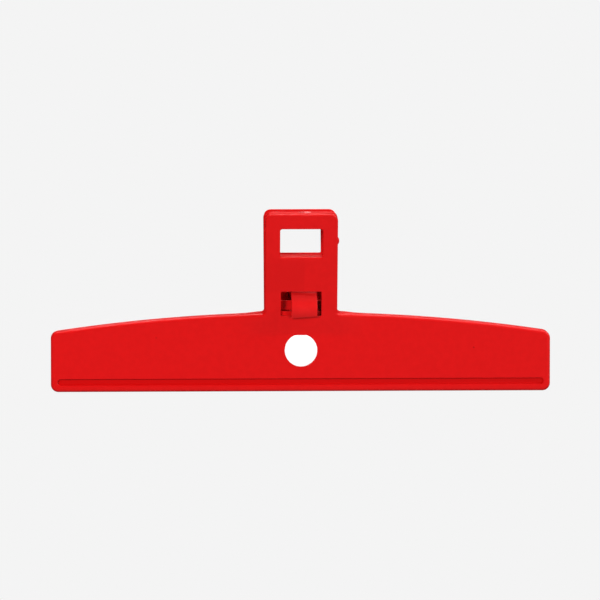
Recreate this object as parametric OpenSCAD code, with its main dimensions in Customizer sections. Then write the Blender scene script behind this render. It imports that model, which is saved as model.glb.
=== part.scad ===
// Wide one-hand bag clip: two T-shaped plastic halves that rock on a half-round
// pivot bar, pulled shut by one C-shaped plastic band through their windows.
// X runs along the jaw, +Z up through the handles, and the front half is at -Y.
// Both halves are drawn as the front one, and the rear half is turned over to +Y.

/* [Jaw] */
// Length of the jaw, end to end
jaw_w = 254; // [200:1:300]
// Height of the jaw at its ends
jaw_end_h = 30.2; // [28:0.1:34]
// Height of the jaw's arched top edge at the middle
jaw_mid_h = 39.8; // [37:0.1:40]
// Depth of one half at the jaw, from the parting plane
jaw_t = 5.5; // [5:0.1:6]
// Corner radius at the foot of the jaw
jaw_foot_r = 3.8; // [1.5:0.1:6]
// Corner radius at the top of the jaw's ends
jaw_top_r = 4; // [1.5:0.1:6]

/* [Handle] */
// Overall height, from the lip to the top of the handles
clip_h = 92; // [88:0.5:105]
// Width of the squeeze handles
handle_w = 36.8; // [36:0.2:44]
// Radius of the handle's top corners
handle_r = 3.5; // [2:0.1:8]
// Radius between the handle and the jaw
root_r = 1.8; // [1:0.1:4]
// Height where the handle starts to lean outwards
bend_z = 29; // [28:0.5:31]
// Lean of each handle from upright, in degrees
lean = 10.4; // [9:0.1:11]
// Thickness of each handle at its tip, from face to skirt edge
tip_t = 7.6; // [5.5:0.1:8]
// Distance over which the lean fades out along the jaw's top edge
gusset_w = 15; // [8:1:30]

/* [Shell] */
// Thickness of the faces
wall = 2.2; // [1.6:0.1:2.4]
// Thickness of the skirt around each half
skirt = 2; // [1.4:0.1:2.6]
// Gap from the parting plane to each skirt
part_gap = 0.4; // [0.3:0.1:0.6]
// Thickness of the stiffening ribs
rib_t = 1.4; // [1:0.1:2]
// Gap from the parting plane to each stiffening rib
rib_gap = 1.6; // [0.8:0.1:2]

/* [Hanging hole] */
// Width of the hanging hole
hole_w = 21.7; // [14:0.1:24]
// Height of the hanging hole
hole_h = 14.6; // [8:0.1:15]
// Distance from the handle's tip to the hole's top edge
hole_top = 7.6; // [5:0.1:12]
// Corner radius of the hole
hole_r = 1.1; // [0.5:0.1:3]

/* [Spring windows] */
// Width of the front window
window_w = 20.6; // [18:0.2:22]
// Height of the windows' lower edge above the lip
window_z = 38.5; // [38:0.1:39]
// Height of both windows
window_h = 12.8; // [12:0.1:14]
// Corner radius of both windows
window_r = 0.4; // [0.3:0.1:1]
// Side clearance of the band in the rear window
slot_gap = 0.1; // [0.1:0.05:0.3]

/* [Lip] */
// Height of the outer groove and the gripping rib above the lip
grip_z = 5; // [4.5:0.1:7]
// Width of the outer groove
groove_w = 3.1; // [2:0.1:4]
// Depth of the outer groove
groove_d = 1.6; // [0.3:0.1:1.6]
// Distance from the groove's end to the jaw's end
groove_margin = 3.4; // [3:0.1:12]
// Height of the rail behind the groove
rail_h = 4; // [3:0.2:5]
// Height of the rear rail, which carries the channel
rear_rail_h = 6; // [5:0.2:7]
// Radius of the gripping rib's nose
nose_r = 1.2; // [0.8:0.1:1.4]
// Gap between the closed rib and the channel that it drops into
nose_gap = 0.15; // [0.1:0.05:0.3]

/* [Pivot] */
// Height of the pivot axis above the lip
pivot_z = 43.8; // [43.5:0.1:44.5]
// Radius of the pivot bar
bar_r = 2.5; // [2:0.1:2.8]
// Distance from the pivot axis to the bar's flat front
bar_flat = 3.4; // [3:0.1:4]
// Running clearance between bar and saddle, on the radius
run_gap = 0.05; // [0.02:0.01:0.1]
// Thickness of the upright webs that carry the bar and the saddles
web_t = 2.2; // [1.6:0.1:2.6]
// Side gap between neighbouring webs
web_gap = 0.3; // [0.2:0.1:0.5]
// Thickness of the sill that closes the front window below the bar
sill_t = 2; // [1.6:0.1:2.4]

/* [Spring band] */
// Width of the band
band_w = 13.2; // [10:0.2:14]
// Thickness of the band
band_t = 1.6; // [1.4:0.1:1.6]
// Outer radius of the band's bend
band_r = 10.7; // [10.7:0.1:10.8]
// Height of the bend's centre above the lip
band_z = 43; // [43:0.1:43.2]
// How far the band reaches below the windows' lower edge
band_lap = 0.5; // [0.3:0.1:0.6]
// How far the band sits to the right of the middle
band_shift = 1; // [0:0.1:1.2]
// Turn of the band about the upright axis, in degrees
band_turn = 3.5; // [0:0.5:3.5]

/* [Hidden] */
$fn = 128;
arc_fn = 256;
half_w = jaw_w / 2;
handle_half = handle_w / 2;
over = 1; // how far a cut runs past the face that it opens
arch = jaw_mid_h - jaw_end_h;
arc_r = (half_w * half_w + arch * arch) / (2 * arch);
arc_z = jaw_mid_h - arc_r;
flare = tan(lean);
handle_foot = bend_z - 5;
handle_len = (clip_h - bend_z - tip_t * sin(lean)) / cos(lean);
tip_s = bend_z + handle_len; // the tip's place along the face, measured up the slope
tip_face_y = jaw_t + handle_len * sin(lean);
tip_back_y = tip_face_y - tip_t * cos(lean);
deep = tip_face_y + over;
hole_s = tip_s - hole_top - hole_h;
window_s = bend_z + (window_z - bend_z) / cos(lean);
corner_cut = 1; // how much sharper the cavity's corners are than the outside
gusset_drop = 0.3; // how far the wedges stay below the jaw's arched top
web_h = 2 * bar_r;
sill_front = 5.6; // the sill's front face, buried in the wall below the window
sill_gap = 0.35; // slot between the sill and the bar
sill_drop = 2.5; // how far the sill reaches below the window
saddle_x = window_w / 2 + web_t + web_gap;
bar_half = saddle_x + web_t + web_gap;
rail_half = half_w - skirt / 2;
nose_half = half_w - skirt - 1;
groove_half = half_w - groove_margin - groove_w / 2;
wall_run = 2.6; // depth over which the band passes through the rear wall
wall_y = 8.2; // middle of that depth, from the parting plane
slot_w = band_w * cos(band_turn) + wall_run * sin(band_turn) + 2 * slot_gap;
rear_arm_x = band_shift - wall_y * sin(band_turn);
cheek_t = 1.4; // thickness of the cheeks that guide the band beside the rear slot
collar_t = 1.4; // thickness of the collar round the hanging hole
cheek_tip = 5.8; // how near the cheeks come to the parting plane
cheek_root = 7.9; // where the cheeks are buried in the rear wall
rib_xs = [20, 46, 72, 98];

// Height of the jaw's arched top edge at x, set in by inset.
function arch_at(x, inset = 0) = arc_z + sqrt(pow(arc_r - inset, 2) - x * x);

// Rounded rectangle from (x0, z0) to (x1, z1), with one radius at the foot and one at the top.
module rounded(x0, z0, x1, z1, foot, top) {
    translate([x0 + foot, z0]) square([x1 - x0 - 2 * foot, foot]);
    translate([x0, z0 + foot]) square([x1 - x0, z1 - z0 - foot - top]);
    translate([x0 + top, z1 - top]) square([x1 - x0 - 2 * top, top]);
    for (x = [x0 + foot, x1 - foot])
        translate([x, z0 + foot]) circle(r = foot);
    for (x = [x0 + top, x1 - top])
        translate([x, z1 - top]) circle(r = top);
}

// Jaw seen from the front, set in from its true edge by inset.
module jaw_outline(inset, foot, top) {
    w = half_w - inset;
    r = arc_r - inset;
    corner_z = arc_z + sqrt(pow(r - top, 2) - pow(w - top, 2));
    rounded(-w, inset, w, corner_z + top, foot, top);
    intersection() {
        translate([0, arc_z]) circle(r = r, $fn = arc_fn);
        translate([top - w, corner_z]) square([2 * (w - top), arch + 2 * top]);
    }
}

// Handle seen from the front, down to inside the jaw.
module handle_outline(inset, top) {
    w = handle_half - inset;
    crown = tip_s - inset - top;
    translate([-w, handle_foot]) square([2 * w, crown - handle_foot]);
    translate([top - w, crown]) square([2 * (w - top), top]);
    for (s = [-1, 1])
        translate([s * (w - top), crown]) circle(r = top);
}

// Rounded inner corners where the handle grows out of the jaw's arched top.
module root_fillets() {
    x = handle_half + root_r;
    z = arc_z + sqrt(pow(arc_r + root_r, 2) - x * x);
    for (s = [-1, 1])
        difference() {
            translate([s * (x - root_r / 2 - over / 2), z - root_r / 2 - over / 2])
                square(root_r + over, center = true);
            translate([s * x, z]) circle(r = root_r);
        }
}

// Extrudes a front-view outline towards the front, from y0 over the given depth.
module from_front(y0, depth) {
    translate([0, y0, 0]) rotate([90, 0, 0]) linear_extrude(depth) children();
}

// Leans what is drawn upright outwards, about the bend in the face.
module leaned() {
    translate([0, -jaw_t, bend_z]) rotate([lean, 0, 0]) translate([0, jaw_t, -bend_z]) children();
}

// Everything in front of the skirt's edge, drawn in side view as (y, z).
module front_side() {
    edge_slope = (tip_back_y - part_gap) / (clip_h - jaw_mid_h);
    rotate([90, 0, 90]) linear_extrude(jaw_w + over, center = true) polygon([
        [-deep, -over], [-part_gap, -over], [-part_gap, jaw_mid_h],
        [-tip_back_y - over * edge_slope, clip_h + over], [-deep, clip_h + over]
    ]);
}

// Wedges that let the handle's lean die away along the jaw's top edge.
module gussets() {
    top_z = arch_at(handle_half) - gusset_drop;
    end_x = handle_half + gusset_w;
    sunk = -jaw_t + wall / 2;
    peak = -jaw_t - (top_z - bend_z) * flare;
    for (s = [0, 1])
        mirror([s, 0, 0]) polyhedron(
            points = [
                [handle_half - over, sunk, bend_z], [handle_half - over, sunk, top_z],
                [end_x, sunk, arch_at(end_x) - gusset_drop],
                [handle_half - over, -jaw_t, bend_z], [handle_half - over, peak, top_z],
                [end_x, -jaw_t, arch_at(end_x) - gusset_drop]
            ],
            faces = [[0, 2, 1], [3, 4, 5], [0, 1, 4, 3], [1, 2, 5], [1, 5, 4], [0, 3, 5, 2]]
        );
}

// One half's shell: a face with a skirt all round, open towards the other half.
module shell() {
    intersection() {
        union() {
            hole_collar();
            hollow_body();
        }
        front_side();
    }
}

// Collar that carries the hanging hole back from the face to the skirt's edge.
module hole_collar() {
    w = hole_w / 2 + collar_t;
    r = hole_r + collar_t;
    leaned() from_front(jaw_t, 2 * jaw_t - wall / 2)
        rounded(-w, hole_s - collar_t, w, hole_s + hole_h + collar_t, r, r);
}

// Face and skirt, before the skirt's edge is trimmed.
module hollow_body() {
    difference() {
        union() {
            from_front(0, jaw_t) jaw_outline(0, jaw_foot_r, jaw_top_r);
            leaned() from_front(jaw_t, 2 * jaw_t) {
                handle_outline(0, handle_r);
                root_fillets();
            }
            gussets();
        }
        from_front(over, jaw_t - wall + over)
            jaw_outline(skirt, jaw_foot_r - corner_cut, jaw_top_r - corner_cut);
        leaned() from_front(jaw_t + over, 2 * jaw_t - wall + over)
            handle_outline(skirt, handle_r - corner_cut);
    }
}

// Upright stiffening ribs behind the jaw's face.
module jaw_ribs() {
    back = -jaw_t + wall / 2;
    for (x = rib_xs, s = [-1, 1])
        translate([s * x - rib_t / 2, back, grip_z])
            cube([rib_t, -back - rib_gap, arch_at(x, skirt / 2) - grip_z]);
}

// A pair of upright webs from the face to the pivot axis, with inner sides at x.
module webs(x) {
    back = -jaw_t - (pivot_z - bend_z) * flare + wall / 2;
    for (s = [-1, 1])
        translate([s * (x + web_t / 2) - web_t / 2, back, pivot_z - web_h / 2])
            cube([web_t, -back, web_h]);
}

// Low cheeks inside the rear half, on both sides of its slot.
module slot_cheeks() {
    for (s = [-1, 1])
        translate([rear_arm_x + s * (slot_w + cheek_t) / 2 - cheek_t / 2, -cheek_root, pivot_z])
            cube([cheek_t, cheek_root - cheek_tip, window_z + window_h - pivot_z]);
}

// Rod along X.
module rod(r, half, y, z) {
    translate([0, y, z]) rotate([0, 90, 0]) cylinder(r = r, h = 2 * half, center = true);
}

// Long rail inside the lip, from the face to the parting gap.
module lip_rail(height) {
    back = -jaw_t + wall / 2;
    translate([-rail_half, back, grip_z - height / 2])
        cube([2 * rail_half, -back - part_gap, height]);
}

// Rounded opening w wide and h tall, cut square through the leaning face from s0 up its slope.
module opening(w, s0, h, r) {
    leaned() from_front(jaw_t, 2 * jaw_t + over) rounded(-w / 2, s0, w / 2, s0 + h, r, r);
}

// Shallow groove with round ends along the outside of the lip.
module lip_groove() {
    from_front(groove_d - jaw_t, groove_d + over) {
        translate([-groove_half, grip_z - groove_w / 2]) square([2 * groove_half, groove_w]);
        for (s = [-1, 1])
            translate([s * groove_half, grip_z]) circle(r = groove_w / 2);
    }
}

// Carries the pivot bar and the gripping rib.
module front_half() {
    color([0.86, 0.09, 0.1]) {
        difference() {
            union() {
                shell();
                jaw_ribs();
                lip_rail(rail_h);
                rod(nose_r, nose_half, -part_gap, grip_z);
            }
            opening(hole_w, hole_s, hole_h, hole_r);
            opening(window_w, window_s, window_h, window_r);
            lip_groove();
        }
        webs(window_w / 2);
        rod(bar_r, bar_half, 0, pivot_z);
        translate([-window_w / 2 - web_t, -bar_flat, pivot_z - bar_r])
            cube([window_w + 2 * web_t, bar_flat, 2 * bar_r]);
        translate([-window_w / 2 - web_t, -sill_front, window_z - sill_drop])
            cube([window_w + 2 * web_t, sill_t, pivot_z - bar_r - sill_gap - window_z + sill_drop]);
    }
}

// Carries the saddles that bear on the bar, and the channel for the gripping rib.
module rear_half() {
    color([0.84, 0.08, 0.09]) mirror([0, 1, 0]) difference() {
        union() {
            shell();
            jaw_ribs();
            lip_rail(rear_rail_h);
            webs(saddle_x);
            slot_cheeks();
        }
        opening(hole_w, hole_s, hole_h, hole_r);
        translate([rear_arm_x, 0, 0]) opening(slot_w, window_s, window_h, window_r);
        rod(bar_r + run_gap, bar_half + over, 0, pivot_z);
        rod(nose_r + nose_gap, half_w - skirt, part_gap, grip_z);
    }
}

// Open at its foot, where its two ends pinch the halves just below their windows.
module spring_band() {
    color([0.91, 0.13, 0.13]) difference() {
        translate([band_shift, 0, band_z]) rotate([0, 0, band_turn]) difference() {
            rod(band_r, band_w / 2, 0, 0);
            rod(band_r - band_t, band_w, 0, 0);
        }
        translate([-band_w, -2 * band_r, band_z - 2 * band_r])
            cube([2 * band_w, 4 * band_r, window_z - band_lap - band_z + 2 * band_r]);
    }
}

front_half();
rear_half();
spring_band();
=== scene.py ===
"""Looks of a wide one-hand bag clip: two T-shaped plastic halves and the band that shuts them.

Lengths in this file are millimetres, unless a name or a comment says otherwise, and MM turns them
into the frame's metres. Each half is drawn in the flat: x across, s up along its face, and d from
the face towards the other half. `place` then leans the handle outwards. The rear half is drawn in
the same way and turned over to +Y.
"""

import math

import bmesh
import bpy
import numpy as np
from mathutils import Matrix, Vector, geometry, noise


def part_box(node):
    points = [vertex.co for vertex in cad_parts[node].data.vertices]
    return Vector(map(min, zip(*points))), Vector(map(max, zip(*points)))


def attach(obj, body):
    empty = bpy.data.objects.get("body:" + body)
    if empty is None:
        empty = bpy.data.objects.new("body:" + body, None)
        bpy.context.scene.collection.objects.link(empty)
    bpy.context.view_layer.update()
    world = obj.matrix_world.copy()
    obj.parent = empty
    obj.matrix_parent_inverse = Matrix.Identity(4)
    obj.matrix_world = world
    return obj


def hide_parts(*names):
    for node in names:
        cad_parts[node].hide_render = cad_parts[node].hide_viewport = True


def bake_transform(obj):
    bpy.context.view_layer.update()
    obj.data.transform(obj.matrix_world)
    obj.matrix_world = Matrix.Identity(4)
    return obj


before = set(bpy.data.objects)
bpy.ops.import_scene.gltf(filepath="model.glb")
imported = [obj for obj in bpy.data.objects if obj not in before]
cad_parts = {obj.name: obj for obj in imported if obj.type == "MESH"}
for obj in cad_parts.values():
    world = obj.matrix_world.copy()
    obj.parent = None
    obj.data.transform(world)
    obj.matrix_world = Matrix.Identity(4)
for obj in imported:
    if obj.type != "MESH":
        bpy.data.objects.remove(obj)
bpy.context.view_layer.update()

MM = 0.001
FRONT_LOW, FRONT_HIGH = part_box("front_half")

# Jaw and handle, as in the CAD source
HALF_W = FRONT_HIGH.x / MM
CLIP_H = FRONT_HIGH.z / MM
TIP_FACE_Y = -FRONT_LOW.y / MM
JAW_END_H, JAW_MID_H, JAW_T = 30.2, 39.8, 5.5
FOOT_R, JAW_TOP_R = 3.8, 4.0
HANDLE_HALF, HANDLE_R, ROOT_R = 18.4, 3.5, 1.8
BEND_Z, LEAN, TIP_T = 29.0, math.radians(10.4), 7.6
WALL, SKIRT, PART_GAP = 2.2, 2.0, 0.4
ARCH = JAW_MID_H - JAW_END_H
ARC_R = (HALF_W**2 + ARCH**2) / (2 * ARCH)
ARC_Z = JAW_MID_H - ARC_R
TIP_S = BEND_Z + (CLIP_H - BEND_Z - TIP_T * math.sin(LEAN)) / math.cos(LEAN)
TIP_BACK_Y = TIP_FACE_Y - TIP_T * math.cos(LEAN)

# Openings, lip, pivot and band, as in the CAD source
HOLE_HALF, HOLE_H, HOLE_R = 10.85, 14.6, 1.1
HOLE_S = TIP_S - 7.6 - HOLE_H
WINDOW_HALF, WINDOW_Z, WINDOW_H, WINDOW_R = 10.3, 38.5, 12.8, 0.4
WINDOW_S = BEND_Z + (WINDOW_Z - BEND_Z) / math.cos(LEAN)
SLOT_HALF, SLOT_X = 6.705, 0.565
CHEEK_T, CHEEK_TIP, CHEEK_ROOT = 1.4, 5.8, 7.9
COLLAR_T = 1.4
GRIP_Z, GROOVE_HALF_H, GROOVE_D, GROOVE_END = 5.0, 1.55, 1.6, 123.6
RAIL_HALF, NOSE_HALF, NOSE_R, NOSE_GAP = 125.5, 124.0, 1.2, 0.15
RIB_XS, RIB_T, RIB_GAP = (20, 46, 72, 98), 1.4, 1.6
PIVOT_Z, BAR_R, BAR_FLAT, RUN_GAP = 43.8, 2.5, 3.4, 0.05
WEB_T, WEB_GAP = 2.2, 0.3
SADDLE_X = WINDOW_HALF + WEB_T + WEB_GAP
BAR_HALF = SADDLE_X + WEB_T + WEB_GAP
SEAT_FRONT, SEAT_BACK, SEAT_GAP, SEAT_DROP = 5.6, 3.6, 0.35, 2.5
BAND_W, BAND_T, BAND_R, BAND_Z = 13.2, 1.6, 10.7, 43.0
BAND_END_Z, BAND_SHIFT, BAND_TURN = 38.0, 1.0, math.radians(3.5)

# Softened edges that only the visual model has
JAW_EDGE, HANDLE_EDGE, RIM_EDGE, INNER_FILLET = 1.5, 0.6, 0.3, 0.45
SUPPORT = 0.3  # flat strip beside a rounded edge, which keeps the shading of the flat face flat
BEND_SOFT = 1.6  # half the height over which the handle's bend is spread
FADE_END = 35.0  # x at which the lean has died away along the jaw's top edge
QUARTER = math.pi / 2
SHARP = math.radians(40)  # edges bent more than this aren't shaded smooth
BACKGROUND = 0.905  # what the floor and the room show to the camera


def smooth(t):
    """Smoothstep of t, held between 0 and 1."""
    t = min(max(t, 0.0), 1.0)
    return t * t * (3 - 2 * t)


def lean_at(x):
    """The handle's lean at x: full across the handle, and dying away along the jaw's top edge."""
    return LEAN * (1 - smooth((abs(x) - HANDLE_HALF) / (FADE_END - HANDLE_HALF)))


def bend_ramp(s):
    """How far s is above the softened bend, and the share of the lean reached there."""
    u = s - BEND_Z
    if u <= -BEND_SOFT:
        return 0.0, 0.0
    if u >= BEND_SOFT:
        return u, 1.0
    return (u + BEND_SOFT) ** 2 / (4 * BEND_SOFT), (u + BEND_SOFT) / (2 * BEND_SOFT)


def face_at(x, s):
    """y and z of the face, and the angle at which depth runs back from it."""
    lean = lean_at(x)
    ramp, share = bend_ramp(s)
    return -(JAW_T + ramp * math.sin(lean)), s - ramp * (1 - math.cos(lean)), lean * share


def place(x, s, d):
    """The point at x and s, d behind the face, in the frame's axes."""
    y, z, angle = face_at(x, s)
    return (x, y + d * math.cos(angle), z + d * math.sin(angle))


def rim_depth(x, s):
    """Depth of the skirt's edge: upright beside the jaw, and opening towards the handle's tip."""
    y, z, angle = face_at(x, s)
    slope = (TIP_BACK_Y - PART_GAP) / (CLIP_H - JAW_MID_H)
    upright = (-PART_GAP - y) / math.cos(angle)
    opening = -PART_GAP - y - slope * (z - JAW_MID_H)
    opening /= math.cos(angle) + slope * math.sin(angle)
    return min(upright, opening)


def arch_s(x):
    """Height of the jaw's arched top edge at x."""
    return ARC_Z + math.sqrt(ARC_R**2 - x * x)


class Loop:
    """A closed line in the flat: points, each with a unit normal away from what it encloses."""

    def __init__(self):
        self.rows = []

    def arc(self, cx, cs, r, a0, a1, n, side=1):
        """Adds n steps of an arc. A side of -1 turns the normals to its centre."""
        for k in range(n + 1):
            a = a0 + (a1 - a0) * k / n
            nx, ns = math.cos(a), math.sin(a)
            self.rows.append((cx + r * nx, cs + r * ns, side * nx, side * ns))

    def line(self, start, end, normal, step):
        """Adds the points between start and end, about a step apart."""
        n = max(2, round(math.dist(start, end) / step))
        for k in range(1, n):
            x, s = (start[i] + (end[i] - start[i]) * k / n for i in (0, 1))
            self.rows.append((x, s, *normal))

    def offset(self, amount):
        """The points moved along their normals."""
        return [(x + nx * amount, s + ns * amount) for x, s, nx, ns in self.rows]


def t_outline():
    """The half's outline: a jaw with an arched top, and the handle on its middle."""
    corner_x = HALF_W - JAW_TOP_R
    corner_s = ARC_Z + math.sqrt((ARC_R - JAW_TOP_R) ** 2 - corner_x**2)
    root_x = HANDLE_HALF + ROOT_R
    root_s = ARC_Z + math.sqrt((ARC_R + ROOT_R) ** 2 - root_x**2)
    tip_x, tip_s = HANDLE_HALF - HANDLE_R, TIP_S - HANDLE_R
    arch_start = math.atan2(corner_s - ARC_Z, corner_x)
    arch_end = math.atan2(root_s - ARC_Z, root_x)
    # The arch has closer points where the lean fades, and never meets its neighbours' end points
    arch_fade = math.acos((FADE_END + 2) / ARC_R)

    right = Loop()
    right.rows.append((0, 0, 0, -1))
    right.line((0, 0), (HALF_W - FOOT_R, 0), (0, -1), 5)
    right.arc(HALF_W - FOOT_R, FOOT_R, FOOT_R, -QUARTER, 0, 8)
    right.line((HALF_W, FOOT_R), (HALF_W, corner_s), (1, 0), 4)
    right.arc(corner_x, corner_s, JAW_TOP_R, 0, arch_start, 8)
    right.arc(0, ARC_Z, ARC_R, arch_start + 0.004, arch_fade, 22)
    right.arc(0, ARC_Z, ARC_R, arch_fade + 0.0012, arch_end - 0.0008, 16)
    right.arc(root_x, root_s, ROOT_R, arch_end + math.pi, math.pi, 7, -1)
    right.line((HANDLE_HALF, root_s), (HANDLE_HALF, tip_s), (1, 0), 1.6)
    right.arc(tip_x, tip_s, HANDLE_R, 0, QUARTER, 8)
    right.line((tip_x, TIP_S), (0, TIP_S), (0, 1), 1.6)
    whole = Loop()
    left = [(-x, s, -nx, ns) for x, s, nx, ns in reversed(right.rows) if x > 0]
    whole.rows = right.rows + [(0, TIP_S, 0, 1)] + left
    return whole


def opening_loop(cx, half, s0, s1, r, step=1.2):
    """A rounded opening's edge, anticlockwise, with normals into the material around it."""
    loop = Loop()
    x0, x1 = cx - half, cx + half
    upright = s1 - s0 - 2 * r > step / 2
    loop.arc(x1 - r, s0 + r, r, -QUARTER, 0, 6)
    if upright:
        loop.line((x1, s0 + r), (x1, s1 - r), (1, 0), step)
    loop.arc(x1 - r, s1 - r, r, 0, QUARTER, 6)
    loop.line((x1 - r, s1), (x0 + r, s1), (0, 1), step)
    loop.arc(x0 + r, s1 - r, r, QUARTER, 2 * QUARTER, 6)
    if upright:
        loop.line((x0, s1 - r), (x0, s0 + r), (-1, 0), step)
    loop.arc(x0 + r, s0 + r, r, 2 * QUARTER, 3 * QUARTER, 6)
    loop.line((x0 + r, s0), (x1 - r, s0), (0, -1), step)
    return loop


def hanging_hole():
    """The edge of the hanging hole, which both halves have."""
    return opening_loop(0, HOLE_HALF, HOLE_S, HOLE_S + HOLE_H, HOLE_R)


def quarter_steps(n):
    """Angles of a quarter turn, for a rounded edge."""
    return [QUARTER * k / n for k in range(n + 1)]


def inside(points, polygon):
    """Which of the points are inside the polygon."""
    p, poly = np.array(points, float), np.array(polygon, float)
    x, y = p[:, 0][:, None], p[:, 1][:, None]
    x0, y0 = poly[:, 0][None], poly[:, 1][None]
    x1, y1 = np.roll(poly[:, 0], -1)[None], np.roll(poly[:, 1], -1)[None]
    crosses = (y0 > y) != (y1 > y)
    at = x0 + (y - y0) * (x1 - x0) / np.where(y1 == y0, 1e-12, y1 - y0)
    return (crosses & (x < at)).sum(1) % 2 == 1


def add_object(name, data):
    """A new object in the scene, made from a mesh, a light or a camera."""
    obj = bpy.data.objects.new(name, data)
    bpy.context.scene.collection.objects.link(obj)
    return obj


class Solid:
    """Collects closed shells in millimetres and turns them into one object."""

    def __init__(self):
        self.points, self.faces = [], []

    def add(self, points, faces):
        base = len(self.points)
        self.points.extend(points)
        self.faces.extend(tuple(base + i for i in f) for f in faces)

    def rings(self, rings):
        """Joins closed rings of equal length with quads."""
        n = len(rings[0])
        points = [p for ring in rings for p in ring]
        faces = []
        for k in range(len(rings) - 1):
            for i in range(n):
                j = (i + 1) % n
                faces.append((k * n + i, k * n + j, (k + 1) * n + j, (k + 1) * n + i))
        self.add(points, faces)

    def capped(self, rings):
        """Joins rings and closes the first and the last with a face each."""
        first, n = len(self.points), len(rings[0])
        self.rings(rings)
        last = len(self.points) - n
        self.faces.append(tuple(first + i for i in reversed(range(n))))
        self.faces.append(tuple(last + i for i in range(n)))

    def fill(self, outer, holes, d, lattice=()):
        """A face at depth d between a loop of flat points and the holes in it."""
        points, edges = [], []
        for loop in (outer, *holes):
            base = len(points)
            points.extend(loop)
            edges.extend((base + i, base + (i + 1) % len(loop)) for i in range(len(loop)))
        points.extend(lattice)
        flat = [Vector(p) for p in points]
        made, _, tris, *_ = geometry.delaunay_2d_cdt(flat, edges, [], 0, 1e-5)
        middles = [sum((made[i] for i in t), Vector((0, 0))) / 3 for t in tris]
        keep = inside(middles, outer)
        for hole in holes:
            keep &= ~inside(middles, hole)
        kept = [t for t, k in zip(tris, keep) if k]
        self.add([place(p.x, p.y, d) for p in made], kept)

    def extrude(self, profile, x0, x1, soft=0.25):
        """A (y, z) profile drawn out along x, with softened ends."""
        ring = np.array(profile, float)
        along = np.roll(ring, -1, 0) - np.roll(ring, 1, 0)
        along /= np.linalg.norm(along, axis=1)[:, None]
        inward = np.stack([-along[:, 1], along[:, 0]], 1)
        area = sum(a[0] * b[1] - a[1] * b[0] for a, b in zip(ring, np.roll(ring, -1, 0)))
        inward *= math.copysign(1, area)
        softening = [(soft * (1 - math.sin(a)), soft * (1 - math.cos(a))) for a in quarter_steps(2)]
        rows = [(x0 + along_x, inset) for along_x, inset in softening[::-1]]
        rows += [(x1 - along_x, inset) for along_x, inset in softening]
        self.capped([[(x, *(p + q * inset)) for p, q in zip(ring, inward)] for x, inset in rows])

    def build(self, name, flip=False):
        """The object, in metres. With flip it is turned over to +Y."""
        mesh = bpy.data.meshes.new(name)
        turn = -1 if flip else 1
        points = [(x * MM, turn * y * MM, z * MM) for x, y, z in self.points]
        mesh.from_pydata(points, [], self.faces)
        work = bmesh.new()
        work.from_mesh(mesh)
        bmesh.ops.remove_doubles(work, verts=work.verts, dist=0.002 * MM)
        loose = [v for v in work.verts if not v.link_faces]
        bmesh.ops.delete(work, geom=loose, context="VERTS")
        bmesh.ops.recalc_face_normals(work, faces=work.faces)
        for face in work.faces:
            face.smooth = True
        for edge in work.edges:
            paired = len(edge.link_faces) == 2
            edge.smooth = not (paired and edge.calc_face_angle() > SHARP)
        work.to_mesh(mesh)
        work.free()
        return add_object(name, mesh)


def rounded_profile(corners, r, n=3):
    """A polygon whose corners are rounded. A corner may carry its own radius as a third number."""
    out = []
    for i, corner in enumerate(corners):
        here = Vector(corner[:2])
        radius = corner[2] if len(corner) > 2 else r
        if radius == 0:
            out.append(tuple(here))
            continue
        before = (Vector(corners[i - 1][:2]) - here).normalized() * radius
        after = (Vector(corners[(i + 1) % len(corners)][:2]) - here).normalized() * radius
        for k in range(n + 1):
            t = k / n
            out.append(tuple(here + before * (1 - t) ** 2 + after * t**2))
    return out


def edge_radius(s):
    """Radius of the face's outer edge: wide along the jaw and small around the handle."""
    return JAW_EDGE + (HANDLE_EDGE - JAW_EDGE) * smooth((s - 39.5) / 3)


def sill_radius(s):
    """Radius of the hanging hole's edge, which is widest along its sill."""
    return 0.35 + 0.75 * smooth(HOLE_S + 1.0 - s)


def window_radius(_):
    """Radius of the window's and the slot's edge."""
    return 0.18


def groove_radius(s):
    """Radius of the groove's edge: crisp above and softer below."""
    return 0.2 + 0.3 * smooth((GRIP_Z - s) / GROOVE_HALF_H)


def rounding(n, spec):
    """Specs for `loft`, n steps round an edge, each given 1 - sin and 1 - cos of its turn."""
    turns = [(1 - math.sin(a), 1 - math.cos(a)) for a in quarter_steps(n)]
    return [lambda x, s, u=u, v=v: spec(x, s, u, v) for u, v in turns]


def loft(solid, loop, specs):
    """Joins a ring for each spec, which gives the offset and depth for a point of the loop.

    Returns the first and the last ring in the flat.
    """
    flats, lines = [], []
    for spec in specs:
        flat, line = [], []
        for x, s, nx, ns in loop.rows:
            out, depth = spec(x, s)
            flat.append((x + nx * out, s + ns * out))
            line.append(place(*flat[-1], depth))
        flats.append(flat)
        lines.append(line)
    solid.rings(lines)
    return flats[0], flats[-1]


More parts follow.
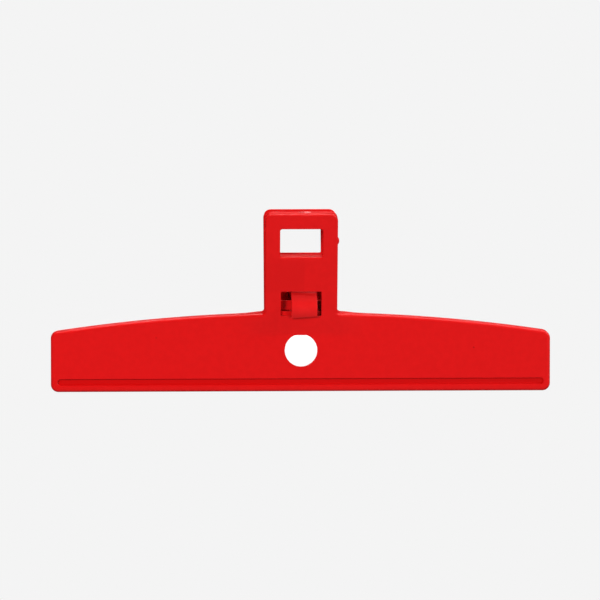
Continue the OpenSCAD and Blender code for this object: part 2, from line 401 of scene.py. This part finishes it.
def add_shell(solid, openings, groove):
    """The half's shell: the face and its rounded edge, the skirt, and the inner face."""
    specs = [lambda x, s: (-edge_radius(s) - SUPPORT, 0)]
    specs += rounding(5, lambda x, s, u, v: (-edge_radius(s) * u, edge_radius(s) * v))
    specs.append(lambda x, s: (0, edge_radius(s) + SUPPORT))
    specs.append(lambda x, s: (0, rim_depth(x, s) - RIM_EDGE - 0.2))
    specs += rounding(3, lambda x, s, u, v: (-RIM_EDGE * v, rim_depth(x, s) - RIM_EDGE * u))
    inside_rim = rounding(
        3, lambda x, s, u, v: (RIM_EDGE * v - SKIRT, rim_depth(x, s) - RIM_EDGE * u)
    )
    specs += inside_rim[::-1]
    specs.append(lambda x, s: (-SKIRT, WALL + INNER_FILLET + 0.15))
    fillet = rounding(3, lambda x, s, u, v: (-SKIRT - INNER_FILLET * u, WALL + INNER_FILLET * v))
    specs += fillet[::-1]
    specs.append(lambda x, s: (-SKIRT - INNER_FILLET - 0.2, WALL))
    face, back = loft(solid, t_outline(), specs)

    face_holes, back_holes = [], []
    for loop, radius in openings:
        first, last = add_opening(solid, loop, radius)
        face_holes.append(first)
        back_holes.append(last)
    if groove:
        face_holes.append(add_groove(solid))
    solid.fill(face, face_holes, 0, lattice(face, face_holes))
    solid.fill(back, back_holes, WALL, lattice(back, back_holes))


def lattice(outer, holes):
    """Flat points that let a filled face follow the bend and the fading lean."""
    rows = [BEND_Z - 3 + 0.5 * k for k in range(13)] + [BEND_Z + 4.5 + 1.25 * k for k in range(5)]
    points = [(x * 1.5, s) for s in rows for x in range(-25, 26)]
    margin = 0.5  # kept free along every edge
    keep = np.ones(len(points), bool)
    for dx, ds in ((0, 0), (margin, 0), (-margin, 0), (0, margin), (0, -margin)):
        moved = [(x + dx, s + ds) for x, s in points]
        keep &= inside(moved, outer)
        for hole in holes:
            keep &= ~inside(moved, hole)
    return [p for p, k in zip(points, keep) if k]


def add_opening(solid, loop, radius):
    """A hole through the face, edged by radius(s). Returns its loops on the two faces."""
    back_edge = 0.3
    specs = [lambda x, s: (radius(s) + SUPPORT, 0)]
    specs += rounding(4, lambda x, s, u, v: (radius(s) * u, radius(s) * v))
    specs.append(lambda x, s: (0, (radius(s) + WALL - back_edge) / 2))
    specs += rounding(2, lambda x, s, u, v: (back_edge * v, WALL - back_edge * u))
    specs.append(lambda x, s: (back_edge + SUPPORT, WALL))
    return loft(solid, loop, specs)


def add_groove(solid):
    """The shallow groove along the lip. Returns its loop on the face."""
    low, high = GRIP_Z - GROOVE_HALF_H, GRIP_Z + GROOVE_HALF_H
    loop = opening_loop(0, GROOVE_END, low, high, GROOVE_HALF_H - 0.01, 4)
    corner = 0.18
    specs = [lambda x, s: (groove_radius(s) + SUPPORT, 0)]
    specs += rounding(4, lambda x, s, u, v: (groove_radius(s) * u, groove_radius(s) * v))
    specs += rounding(2, lambda x, s, u, v: (-corner * v, GROOVE_D - corner * u))
    specs.append(lambda x, s: (-corner - 0.2, GROOVE_D))
    mouth, floor = loft(solid, loop, specs)
    solid.fill(floor, [], GROOVE_D)
    return mouth


def add_collar(solid):
    """The collar round the hanging hole, from the face's back to the skirt's edge."""
    proud, edge, sunk, play = 0.02, 0.3, WALL * 0.5, 0.05
    outer = proud + COLLAR_T
    # Offset from the hole and distance short of the skirt's edge, or None for the sunken foot
    section = [(proud, None), (proud, edge), (proud + 0.1, 0.1), (proud + edge, 0)]
    section += [(outer - edge, 0), (outer - 0.1, 0.1), (outer, edge), (outer, None), (proud, None)]
    lines = []
    for out, short in section:
        line = []
        for x, s in hanging_hole().offset(out):
            depth = sunk if short is None else rim_depth(x, s) - play - short
            line.append(place(x, s, depth))
        lines.append(line)
    solid.rings(lines)


def add_ribs(solid):
    """Upright stiffening ribs behind the jaw's face."""
    for x in RIB_XS:
        for side in (-1, 1):
            top = arch_s(x) - SKIRT / 2
            steps = [GRIP_Z + (top - GRIP_Z) * k / 12 for k in range(13)]
            face = [place(side * x, s, WALL * 0.6)[1:] for s in steps]
            profile = [*face, (-RIB_GAP, top), (-RIB_GAP, GRIP_Z)]
            solid.extrude(profile, side * x - RIB_T / 2, side * x + RIB_T / 2, 0.2)


def web_profile(reach):
    """Side view of a web from inside the handle's face to the pivot, with the given far edge."""
    low, high = PIVOT_Z - BAR_R, PIVOT_Z + BAR_R
    along = [BEND_Z + (z - BEND_Z) / math.cos(LEAN) for z in (low, high)]
    low_y, high_y = (place(0, s, WALL * 0.5)[1] for s in along)
    return [(high_y, high), (low_y, low), *reach]


def circle(y, z, r, n=24):
    """The (y, z) points of a round bar."""
    turns = [math.tau * k / n for k in range(n)]
    return [(y + r * math.cos(a), z + r * math.sin(a)) for a in turns]


def front_half():
    """The front half carries the window, the groove, the pivot bar and the gripping rib."""
    solid = Solid()
    window = opening_loop(0, WINDOW_HALF, WINDOW_S, WINDOW_S + WINDOW_H, WINDOW_R, 1.0)
    add_shell(solid, [(hanging_hole(), sill_radius), (window, window_radius)], groove=True)
    add_ribs(solid)
    add_collar(solid)

    back, low, high = -JAW_T + WALL * 0.5, GRIP_Z - 2, GRIP_Z + 2
    rail = [(back, low, 0), (-PART_GAP, low), (-PART_GAP, high), (back, high, 0)]
    solid.extrude(rounded_profile(rail, 0.3), -RAIL_HALF, RAIL_HALF)
    solid.extrude(circle(-PART_GAP, GRIP_Z, NOSE_R), -NOSE_HALF, NOSE_HALF, 0.6)

    solid.extrude(circle(0, PIVOT_Z, BAR_R), -BAR_HALF, BAR_HALF, 0.3)
    arc = [QUARTER * k / 8 for k in range(-8, 9)]
    rounding_back = [(BAR_R * math.cos(a), PIVOT_Z + BAR_R * math.sin(a), 0) for a in arc]
    bar = [(-BAR_FLAT, PIVOT_Z + BAR_R), (-BAR_FLAT, PIVOT_Z - BAR_R), *rounding_back]
    bar_half = WINDOW_HALF + WEB_T / 2
    solid.extrude(rounded_profile(bar, 0.3), -bar_half, bar_half)

    web = web_profile([(0, PIVOT_Z - BAR_R), (0, PIVOT_Z + BAR_R)])
    top, low = PIVOT_Z - BAR_R - SEAT_GAP, WINDOW_Z - SEAT_DROP
    seat = [(-SEAT_FRONT, low), (-SEAT_BACK, low), (-SEAT_BACK, top), (-SEAT_FRONT, top)]
    seat_half = WINDOW_HALF + WEB_T
    solid.extrude(rounded_profile(seat, 0.25), -seat_half, seat_half)
    for side in (-1, 1):
        x = side * (WINDOW_HALF + WEB_T / 2)
        solid.extrude(web, x - WEB_T / 2, x + WEB_T / 2, 0.2)
    return solid.build("front_shell")


def rear_half():
    """The rear half carries the slot, the saddles on the bar, and the channel in its rail."""
    solid = Solid()
    slot = opening_loop(SLOT_X, SLOT_HALF, WINDOW_S, WINDOW_S + WINDOW_H, WINDOW_R, 1.0)
    add_shell(solid, [(hanging_hole(), sill_radius), (slot, window_radius)], groove=False)
    add_ribs(solid)
    add_collar(solid)

    back, low, high = -JAW_T + WALL * 0.5, GRIP_Z - 3, GRIP_Z + 3
    r = NOSE_R + NOSE_GAP
    arc = [math.pi * (1.5 - k / 10) for k in range(11)]
    channel = [(-PART_GAP + r * math.cos(a), GRIP_Z + r * math.sin(a), 0) for a in arc]
    rail = [(back, low, 0), (-PART_GAP, low), *channel, (-PART_GAP, high), (back, high, 0)]
    solid.extrude(rounded_profile(rail, 0.3), -RAIL_HALF, RAIL_HALF)

    r = BAR_R + RUN_GAP
    tip = math.asin(BAR_R / r)
    arc = [math.pi + tip - 2 * tip * k / 14 for k in range(15)]
    saddle = web_profile([(r * math.cos(a), PIVOT_Z + r * math.sin(a)) for a in arc])
    for side in (-1, 1):
        x = side * (SADDLE_X + WEB_T / 2)
        solid.extrude(saddle, x - WEB_T / 2, x + WEB_T / 2, 0.2)

    top = WINDOW_Z + WINDOW_H
    cheek = [(-CHEEK_ROOT, PIVOT_Z), (-CHEEK_TIP, PIVOT_Z), (-CHEEK_TIP, top), (-CHEEK_ROOT, top)]
    for side in (-1, 1):
        x = SLOT_X + side * (SLOT_HALF + CHEEK_T / 2)
        solid.extrude(rounded_profile(cheek, 0.2), x - CHEEK_T / 2, x + CHEEK_T / 2, 0.15)
    return solid.build("rear_shell", flip=True)


def spring_band():
    """The C-shaped band, swept round from one foot to the other, with softened edges."""
    half, inner = BAND_W / 2, BAND_R - BAND_T
    corners = [(-half, inner), (half, inner), (half, BAND_R), (-half, BAND_R)]
    section = rounded_profile(corners, 0.35, 4)
    wide = []
    for i, (x, r) in enumerate(section):
        step = section[(i + 1) % len(section)][0] - x
        wide.append((x, r))
        if abs(step) > 2:
            wide.extend((x + step * k / 8, r) for k in range(1, 8))
    middle_r = (inner + BAND_R) / 2
    slant = 0.05  # of the front foot's end
    # Share of the way from the top to a foot, and the inset that rounds the foot's end
    n = 72
    rows = [(-1, 0.25), (-1, 0.08), (-1 + 0.012, 0)]
    rows += [(-1 + 2 * k / n, 0) for k in range(1, n)]
    rows += [(1 - 0.012, 0), (1, 0.08), (1, 0.25)]
    cos_t, sin_t = math.cos(BAND_TURN), math.sin(BAND_TURN)
    rings = []
    for u, inset in rows:
        ring = []
        for x, r in wide:
            x *= 1 - inset / half
            r = middle_r + (r - middle_r) * (1 - inset / (BAND_T / 2))
            foot = BAND_END_Z - BAND_Z + (slant * x if u < 0 else 0)
            angle = u * math.acos(foot / r)
            y, z = r * math.sin(angle), BAND_Z + r * math.cos(angle)
            ring.append((BAND_SHIFT + x * cos_t - y * sin_t, x * sin_t + y * cos_t, z))
        rings.append(ring)
    solid = Solid()
    solid.capped(rings)
    return solid.build("spring_band_skin")


def print_disc():
    """The thin printed disc on the jaw's face."""
    radius, centre_z, thick, edge = 8.25, 21.0, 0.05, 0.05
    # Radius, and how far it stands out of the face or, below 0, is sunk in it
    rows = [(radius - edge, thick), (radius, thick * 0.5), (radius, -0.1), (radius - edge, -0.15)]
    turns = [math.tau * k / 96 for k in range(96)]
    solid = Solid()
    solid.capped([
        [(r * math.cos(a), -JAW_T - out, centre_z + r * math.sin(a)) for a in turns]
        for r, out in rows
    ])
    return solid.build("print_disc")


def blob(name, centre, radii, unevenness):
    """A small lump of plastic, as left by the mould, leaning like the handle."""
    mesh = bpy.data.meshes.new(name)
    work = bmesh.new()
    bmesh.ops.create_icosphere(work, subdivisions=4, radius=1)
    cos_l, sin_l = math.cos(LEAN), math.sin(LEAN)
    for v in work.verts:
        coarse, fine = noise.noise(v.co * 2.3), noise.noise(v.co * 6.1)
        push = 1 + unevenness * coarse + unevenness * 0.5 * fine
        x, y, z = (v.co[i] * radii[i] * push for i in range(3))
        v.co = (Vector((x, y * cos_l - z * sin_l, y * sin_l + z * cos_l)) + Vector(centre)) * MM
    for face in work.faces:
        face.smooth = True
    work.to_mesh(mesh)
    work.free()
    return add_object(name, mesh)


class Nodes:
    """Short calls for building a node tree. Values are sockets or plain numbers."""

    def __init__(self, tree):
        self.tree = tree

    def add(self, kind, **values):
        node = self.tree.nodes.new(kind)
        for key, value in values.items():
            setattr(node, key, value)
        return node

    def link(self, source, target):
        self.tree.links.new(source, target)

    def noise(self, where, scale, detail=2.0):
        node = self.add("ShaderNodeTexNoise")
        node.inputs["Scale"].default_value = scale
        node.inputs["Detail"].default_value = detail
        self.link(where, node.inputs["Vector"])
        return node.outputs["Fac"]

    def ranged(self, value, low, high, to_low, to_high):
        """The value carried smoothly from the range low..high to the range to_low..to_high."""
        node = self.add("ShaderNodeMapRange", interpolation_type="SMOOTHSTEP")
        names = ("From Min", "From Max", "To Min", "To Max")
        for key, number in zip(names, (low, high, to_low, to_high)):
            node.inputs[key].default_value = number
        self.link(value, node.inputs["Value"])
        return node.outputs["Result"]

    def math(self, operation, a, b):
        node = self.add("ShaderNodeMath", operation=operation)
        for socket, value in zip(node.inputs, (a, b)):
            if isinstance(value, (int, float)):
                socket.default_value = value
            else:
                self.link(value, socket)
        return node.outputs[0]

    def product(self, first, *others):
        for other in others:
            first = self.math("MULTIPLY", first, other)
        return first

    def mix(self, factor, a, b):
        node = self.add("ShaderNodeMix", data_type="RGBA")
        for index, value in ((0, factor), (6, a), (7, b)):  # the factor and the two colours
            if isinstance(value, tuple):
                node.inputs[index].default_value = (*value, 1)
            else:
                self.link(value, node.inputs[index])
        return node.outputs[2]

    def axes(self, where):
        """The X, Y and Z sockets of a vector."""
        node = self.add("ShaderNodeSeparateXYZ")
        self.link(where, node.inputs[0])
        return node.outputs

    def near(self, where, point, radius, soft):
        """1 at the point, falling to 0 past the radius."""
        node = self.add("ShaderNodeVectorMath", operation="DISTANCE")
        node.inputs[1].default_value = [c * MM for c in point]
        self.link(where, node.inputs[0])
        return self.ranged(node.outputs["Value"], radius * MM, (radius + soft) * MM, 1, 0)


def tinted(colour, share, rest=None):
    """A deeper shade of a colour. With rest, green and blue are dimmed by that share instead."""
    rest = share if rest is None else rest
    return colour[0] * share, colour[1] * rest, colour[2] * rest


def plastic(name, dark, light, roughness=0.45, specular=0.35, marks_and_shade=False, shade=False):
    """Satin moulded plastic with a fine grain and a slight, soft mottle; it may also get specks and
    painted shade.
    """
    material = bpy.data.materials.new(name)
    material.use_nodes = True
    n = Nodes(material.node_tree)
    shader = material.node_tree.nodes["Principled BSDF"]
    where = n.add("ShaderNodeTexCoord").outputs["Object"]
    mottle = n.noise(where, 330, 4)
    grain = n.noise(where, 2600, 2)
    colour = n.mix(n.ranged(mottle, 0.3, 0.7, 0, 1), dark, light)
    rough = n.ranged(grain, 0.2, 0.8, roughness - 0.04, roughness + 0.05)
    if marks_and_shade:
        colour = add_marks_and_shade(n, where, colour, dark)
    if shade:
        # Painted shadow under the window's upper edge, deeper and duller there, and a little
        # painted shade near its lower edge
        z = n.axes(where)["Z"]
        high = n.ranged(z, 44 * MM, 51 * MM, 0, 0.9)
        low = n.ranged(z, 38.5 * MM, 42.5 * MM, 0.3, 0)
        colour = n.mix(n.math("MAXIMUM", high, low), colour, tinted(dark, 0.7))
        rough = n.math("ADD", rough, n.product(high, 0.4))
    n.link(colour, shader.inputs["Base Color"])
    n.link(rough, shader.inputs["Roughness"])
    shader.inputs["Specular IOR Level"].default_value = specular
    bump = n.add("ShaderNodeBump")
    bump.inputs["Strength"].default_value = 0.12
    bump.inputs["Distance"].default_value = 0.08 * MM
    n.link(n.math("ADD", grain, n.noise(where, 520, 2)), bump.inputs["Height"])
    n.link(bump.outputs["Normal"], shader.inputs["Normal"])
    return material


def add_marks_and_shade(n, where, colour, dark):
    """Specks, and painted shade left of a weld line, in the groove along the lip and beside the
    band, laid over a colour.
    """
    x, y, z = n.axes(where)

    # Painted shade along a weld line: the plastic left of it is painted a little deeper, below the
    # hanging hole
    across = n.ranged(x, 0.8 * MM, 2.2 * MM, 1, 0)
    above = n.ranged(z, 48 * MM, 53 * MM, 0, 1)
    below = n.ranged(z, 64 * MM, 70 * MM, 1, 0)
    colour = n.mix(n.product(across, above, below, 0.7), colour, tinted(dark, 0.95))

    # Painted shade in the groove along the lip, and a deeper painted shadow under its upper edge
    groove_top = GRIP_Z + GROOVE_HALF_H
    sunk = n.ranged(y, (0.3 - JAW_T) * MM, (1.2 - JAW_T) * MM, 0, 1)
    lip = n.ranged(z, groove_top * MM, (groove_top + 0.4) * MM, 1, 0)
    under_edge = n.ranged(z, (GRIP_Z + 0.9) * MM, groove_top * MM, 0, 0.55)
    colour = n.mix(n.product(sunk, lip), colour, tinted(dark, 0.9, 0.3))
    colour = n.mix(n.product(sunk, lip, under_edge), colour, tinted(dark, 0.3, 0))

    # Painted shade in the gap to the right of the band, on the bar and on the ledge behind the face
    behind_face = n.ranged(y, -6.6 * MM, -6.1 * MM, 0, 1)
    for point, radius in (((9.3, -BAR_FLAT, PIVOT_Z), 1.6), ((9.4, -SEAT_FRONT, 38.2), 1.9)):
        gap = n.product(n.near(where, point, radius, 1.5), 0.75, behind_face)
        colour = n.mix(gap, colour, tinted(dark, 0.3, 0.1))

    # Specks, each with its radius, softness, strength and darkness
    for point, radius, soft, share, tint in (
        ((88.0, -JAW_T, 22.2), 0.22, 0.3, 0.75, 0.35),
        ((-73.5, -JAW_T, 27.6), 0.2, 0.5, 0.5, 0.6),
    ):
        spot = n.product(n.near(where, point, radius, soft), share)
        colour = n.mix(spot, colour, tinted(dark, tint))
    return colour


def from_angles(azimuth, elevation, distance):
    """The point in that direction, with azimuth from straight in front towards +X. In metres."""
    a, e = math.radians(azimuth), math.radians(elevation)
    flat = math.cos(e) * distance
    return Vector((math.sin(a) * flat, -math.cos(a) * flat, math.sin(e) * distance))


def make_camera():
    """A long lens in front, a little above and to the left."""
    target, back = Vector((-0.00025, 0, 0.0462)), from_angles(-2.4, 4.3, 3.0)
    data = bpy.data.cameras.new("camera")
    data.lens, data.sensor_width = 353.8, 36
    data.clip_start, data.clip_end = 0.1, 200
    camera = add_object("camera", data)
    camera.location = target + back
    camera.rotation_euler = (-back).to_track_quat("-Z", "Y").to_euler()
    bpy.context.scene.camera = camera


def camera_split(n, path, seen, unseen):
    """A strength of seen for the camera's own rays, and of unseen for the light on the object."""
    others = n.math("SUBTRACT", 1, path)
    return n.math("ADD", n.product(path, seen), n.product(others, unseen))


def make_stage():
    """A plain pale floor without end, and a pale room that lights more from behind."""
    reach = 60  # metres
    corners = [(-reach, -reach, 0), (reach, -reach, 0), (reach, reach, 0), (-reach, reach, 0)]
    mesh = bpy.data.meshes.new("floor")
    mesh.from_pydata(corners, [], [(0, 1, 2, 3)])
    floor = add_object("floor", mesh)
    material = bpy.data.materials.new("floor")
    material.use_nodes = True
    material.node_tree.nodes.clear()
    n = Nodes(material.node_tree)
    path = n.add("ShaderNodeLightPath").outputs["Is Camera Ray"]
    glow = n.add("ShaderNodeEmission")
    n.link(camera_split(n, path, BACKGROUND, 0.3), glow.inputs["Strength"])
    output = n.add("ShaderNodeOutputMaterial")
    n.link(glow.outputs[0], output.inputs["Surface"])
    mesh.materials.append(material)
    floor.visible_glossy = False

    world = bpy.data.worlds.new("room")
    world.use_nodes = True
    bpy.context.scene.world = world
    n = Nodes(world.node_tree)
    _, y, z = n.axes(n.add("ShaderNodeTexCoord").outputs["Generated"])
    paths = n.add("ShaderNodeLightPath").outputs
    behind = n.ranged(y, -0.3, 0.8, 0.05, 0.6)
    up = n.ranged(z, -0.05, 0.1, 0.05, 0.5)
    mirrored = n.ranged(paths["Is Glossy Ray"], 0, 1, 0.1, 1)
    light = n.product(behind, up, mirrored)
    backdrop = world.node_tree.nodes["Background"]
    strength = camera_split(n, paths["Is Camera Ray"], BACKGROUND, light)
    n.link(strength, backdrop.inputs["Strength"])


def make_lights():
    """Soft round lamps about the object. Most light it without showing in its gloss."""
    middle, distance = Vector((0, 0, 0.045)), 1.7  # metres
    for name, azimuth, elevation, size, watts, glossy in (
        ("key", 75, 30, 0.4, 12, True),
        ("left", -30, 17, 0.5, 22, False),
        ("right", 30, 5, 0.4, 11, False),
        ("back", 180, 50, 0.6, 6, False),
        ("behind", 180, 10, 0.5, 12, False),
        ("back_left", -120, 30, 0.4, 7, False),
        ("top", 180, 75, 1.0, 17, True),
        ("rim", 95, 55, 0.8, 9, True),
    ):
        back = from_angles(azimuth, elevation, distance)
        data = bpy.data.lights.new(name, "AREA")
        data.shape, data.size, data.energy = "DISK", size, watts
        lamp = add_object(name, data)
        lamp.location = middle + back
        lamp.rotation_euler = (-back).to_track_quat("-Z", "Y").to_euler()
        lamp.visible_glossy = glossy


def main():
    """Builds the stage and the pieces, gives each piece its material, and ties it to its body or,
    for the band, bakes it in place.
    """
    bpy.context.scene.view_settings.view_transform = "Standard"
    make_camera()
    make_stage()
    make_lights()

    # The front half's colour gets specks, and painted shade by the weld line, in the groove and
    # beside the band
    red = plastic("front_red", (0.61, 0.0042, 0.0046), (0.64, 0.0047, 0.0052), marks_and_shade=True)
    rear_red = plastic("rear_red", (0.605, 0.0042, 0.0046), (0.635, 0.0047, 0.0052))
    # The band's colour gets painted shade near the window's edges
    band_red = plastic(
        "band_red", (0.66, 0.008, 0.0085), (0.69, 0.0095, 0.01), roughness=0.4, shade=True
    )
    white = plastic(
        "print_white", (0.93, 0.93, 0.93), (0.96, 0.96, 0.96), roughness=0.55, specular=0.2
    )
    scar = plastic("gate_scar", (0.62, 0.03, 0.03), (0.75, 0.22, 0.22), roughness=0.6)

    # Centre, radii and unevenness
    gate_mark = ((1.9, -12.6, CLIP_H - 0.55), (2.7, 0.9, 0.42), 0.45)
    side_nub = ((18.3, -12.8, 77.2), (0.8, 1.2, 1.8), 0.1)
    # Piece, material, body (None for the band that bends between two), slot and replaced nodes
    pieces = [
        (front_half(), red, "front", "front_plastic", ["front_half"]),
        (rear_half(), rear_red, "rear", "rear_plastic", ["rear_half"]),
        (spring_band(), band_red, None, "band_plastic", ["spring_band"]),
        (print_disc(), white, "front", "white_print", []),
        (blob("gate_mark", *gate_mark), scar, "front", "front_plastic", []),
        (blob("side_nub", *side_nub), red, "front", "front_plastic", []),
    ]
    for obj, material, body, slot, nodes in pieces:
        obj.data.materials.append(material)
        if body:
            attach(obj, body)
        else:
            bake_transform(obj)
        if nodes:
            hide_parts(*nodes)


main()
